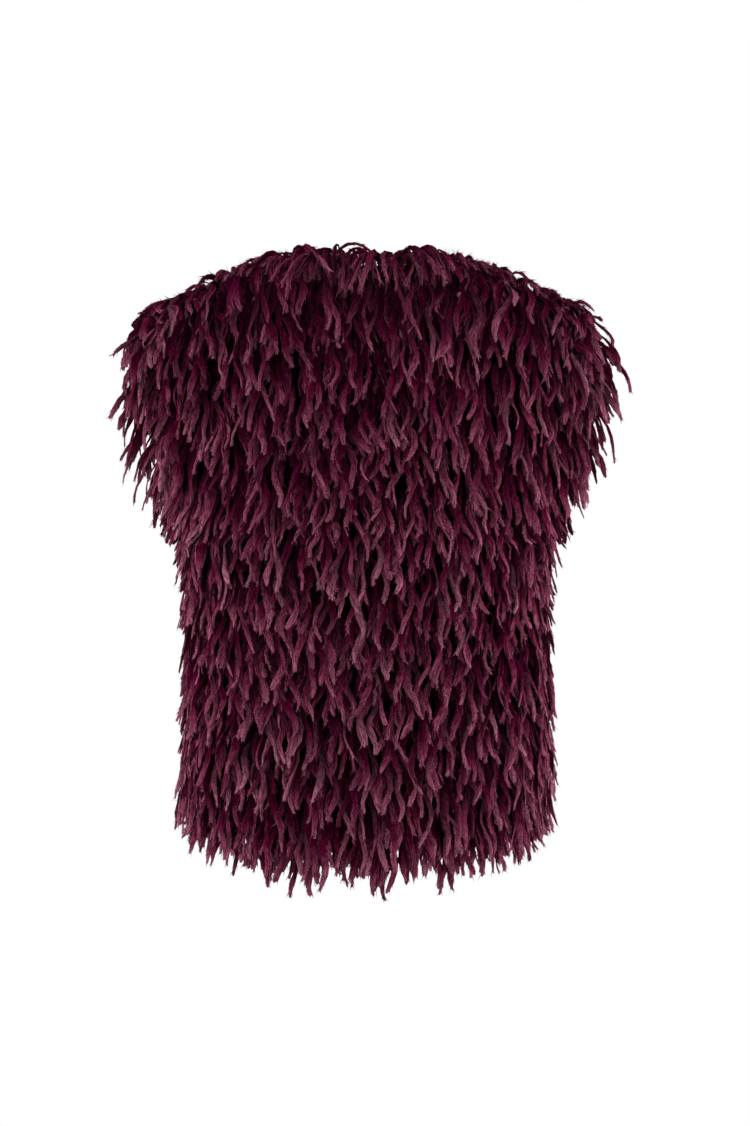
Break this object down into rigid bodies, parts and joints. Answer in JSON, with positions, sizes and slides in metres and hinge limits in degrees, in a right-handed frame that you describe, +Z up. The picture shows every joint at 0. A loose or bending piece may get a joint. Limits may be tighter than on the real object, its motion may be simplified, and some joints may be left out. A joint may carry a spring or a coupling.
{
  "type": "feather vest",
  "caption": "Sleeveless waist-length vest in its worn shape, hollow, covered all over in shingled tiers of narrow burgundy feathers.",
  "frame": {"origin": "midway between the neck ends of the two shoulder seams, on the inner face of the cloth, where the wearer's shoulders carry the vest", "axes": "+Z up along the body towards the neck, -Y towards the back of the vest, +Y towards its front, +X towards the wearer's right side"},
  "size_m": [0.508, 0.2833, 0.6426],
  "materials": {
    "base_cloth": "matte woven cloth, dark burgundy",
    "feather": "soft feather barbs, dusty burgundy with darker roots"
  },
  "bodies": {
    "root": {"back_panel": "base_cloth", "front_left_panel": "base_cloth", "front_right_panel": "base_cloth", "back_fringe_01": "feather", "back_fringe_02": "feather", "back_fringe_03": "feather", "back_fringe_04": "feather", "back_fringe_05": "feather", "back_fringe_06": "feather", "back_fringe_07": "feather", "back_fringe_08": "feather", "back_fringe_09": "feather", "back_fringe_10": "feather", "front_left_fringe_01": "feather", "front_left_fringe_02": "feather", "front_left_fringe_03": "feather", "front_left_fringe_04": "feather", "front_left_fringe_05": "feather", "front_left_fringe_06": "feather", "front_left_fringe_07": "feather", "front_left_fringe_08": "feather", "front_left_fringe_09": "feather", "front_left_fringe_10": "feather", "front_right_fringe_01": "feather", "front_right_fringe_02": "feather", "front_right_fringe_03": "feather", "front_right_fringe_04": "feather", "front_right_fringe_05": "feather", "front_right_fringe_06": "feather", "front_right_fringe_07": "feather", "front_right_fringe_08": "feather", "front_right_fringe_09": "feather", "front_right_fringe_10": "feather"}
  },
  "joints": []
}
